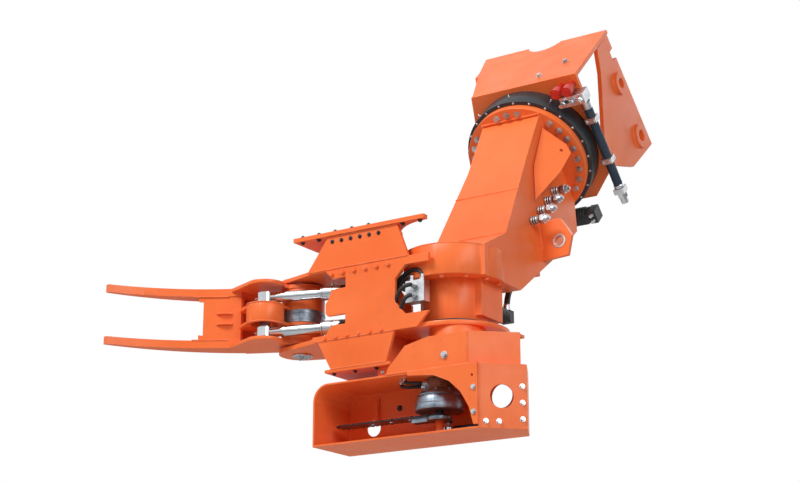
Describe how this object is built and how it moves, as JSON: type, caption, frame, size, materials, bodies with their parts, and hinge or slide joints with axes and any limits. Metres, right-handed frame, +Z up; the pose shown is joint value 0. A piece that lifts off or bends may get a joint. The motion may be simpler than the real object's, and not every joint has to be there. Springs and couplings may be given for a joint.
{
  "type": "grapple saw",
  "caption": "Orange steel grapple saw on a tilted wrist: crane adapter, elbow arm, rotating frame, one double-tined hydraulic claw and a swing-out chain saw bar in a box.",
  "frame": {"origin": "centre of the main crane pin bore in the adapter's cheeks", "axes": "+X along the crane pins, from the claw's end towards the right cheek; -Y towards the trunk; +Z up, along the trunk and the rotator axis"},
  "size_m": [2.1994, 2.3656, 2.5361],
  "materials": {
    "orange_paint": "satin",
    "dark_paint": "satin",
    "zinc_steel": "zinc plated",
    "chrome": "hard chrome",
    "bare_steel": "ground",
    "chain_steel": "oiled",
    "black_hose": "matt",
    "blue_hose": "matt",
    "red_coupling": "gloss"
  },
  "bodies": {
    "adapter": {"adapter_base": "orange_paint", "adapter_cheeks": "orange_paint", "adapter_ribs": "orange_paint", "adapter_roof": "orange_paint", "wrist_housing": "dark_paint", "wrist_motor": "dark_paint", "bulkhead_block": "zinc_steel", "couplings": "red_coupling", "adapter_hose": "blue_hose", "hose_clamps": "zinc_steel", "adapter_bolts": "zinc_steel"},
    "elbow": {"wrist_flange": "orange_paint", "wrist_bolts": "zinc_steel", "elbow_box": "orange_paint", "elbow_guard": "orange_paint", "fitting_row": "zinc_steel", "lifting_lug": "orange_paint", "rotator_drum": "orange_paint", "rotator_motor": "dark_paint", "elbow_hose": "black_hose", "drum_bolts": "orange_paint"},
    "frame": {"rotator_hub": "bare_steel", "lower_plate": "orange_paint", "front_plate": "orange_paint", "back_plate": "orange_paint", "upper_plate": "orange_paint", "upper_bracket": "orange_paint", "lower_bracket": "orange_paint", "claw_pin": "bare_steel", "claw_pin_caps": "zinc_steel", "cylinder_pin": "bare_steel", "valve_block": "zinc_steel", "frame_hose": "black_hose", "frame_bolts": "orange_paint", "saw_box": "orange_paint", "saw_cover": "orange_paint", "saw_mount": "orange_paint", "saw_tank": "orange_paint", "saw_motor": "bare_steel", "saw_bolts": "zinc_steel"},
    "claw": {"claw_upper": "orange_paint", "claw_lower": "orange_paint", "claw_web": "orange_paint", "claw_hub": "orange_paint", "claw_washers": "zinc_steel", "lug_tube": "orange_paint"},
    "claw_barrels": {"barrel_upper": "dark_paint", "barrel_lower": "dark_paint"},
    "claw_rods": {"rod_upper": "chrome", "rod_lower": "chrome", "rod_pin": "bare_steel"},
    "saw_arm": {"saw_arm": "bare_steel", "guide_bar": "bare_steel", "saw_chain": "chain_steel"},
    "saw_sprocket": {"drive_sprocket": "chain_steel"},
    "saw_feed_barrel": {"feed_barrel": "dark_paint"},
    "saw_feed_rod": {"feed_rod": "chrome"}
  },
  "joints": [
    {"name": "wrist_turn", "type": "hinge", "parent": "adapter", "child": "elbow", "pos_m": [0, -1.42871, -1.07516], "axis": [0, 0.7071, 0.7071], "continuous": true},
    {"name": "rotator_turn", "type": "hinge", "parent": "elbow", "child": "frame", "pos_m": [0, -1.42871, -1.07516], "axis": [0, 0, 1], "range_deg": [-30, 80]},
    {"name": "claw_swing", "type": "hinge", "parent": "frame", "child": "claw", "pos_m": [-0.89, -1.52871, -1.25516], "axis": [0, 0, 1], "range_deg": [0, 75]},
    {"name": "claw_barrel_swing", "type": "hinge", "parent": "frame", "child": "claw_barrels", "pos_m": [-0.32, -1.53671, -1.26116], "axis": [0, 0, 1], "range_deg": [0, 7]},
    {"name": "claw_rod_slide", "type": "slide", "parent": "claw_barrels", "child": "claw_rods", "axis": [-0.9612, -0.2758, 0], "range_m": [-0.268, 0]},
    {"name": "saw_swing", "type": "hinge", "parent": "frame", "child": "saw_arm", "pos_m": [-0.016, -1.55871, -1.87516], "axis": [0, 0, 1], "range_deg": [0, 90]},
    {"name": "sprocket_spin", "type": "hinge", "parent": "frame", "child": "saw_sprocket", "pos_m": [-0.016, -1.55871, -1.87516], "axis": [0, 0, 1], "continuous": true},
    {"name": "saw_feed_barrel_swing", "type": "hinge", "parent": "frame", "child": "saw_feed_barrel", "pos_m": [0.164, -1.48871, -1.94116], "axis": [0, 0, 1], "range_deg": [0, 7.5]},
    {"name": "saw_feed_rod_slide", "type": "slide", "parent": "saw_feed_barrel", "child": "saw_feed_rod", "axis": [-0.9982, -0.0595, 0], "range_m": [0, 0.086]}
  ],
  "couplings": [
    {"joint": "claw_barrel_swing", "follows": "claw_swing", "ratio": 0.09},
    {"joint": "claw_rod_slide", "follows": "claw_swing", "m_per_rad": -0.2039},
    {"joint": "saw_feed_barrel_swing", "follows": "saw_swing", "ratio": 0.08},
    {"joint": "saw_feed_rod_slide", "follows": "saw_swing", "m_per_rad": 0.0542}
  ]
}
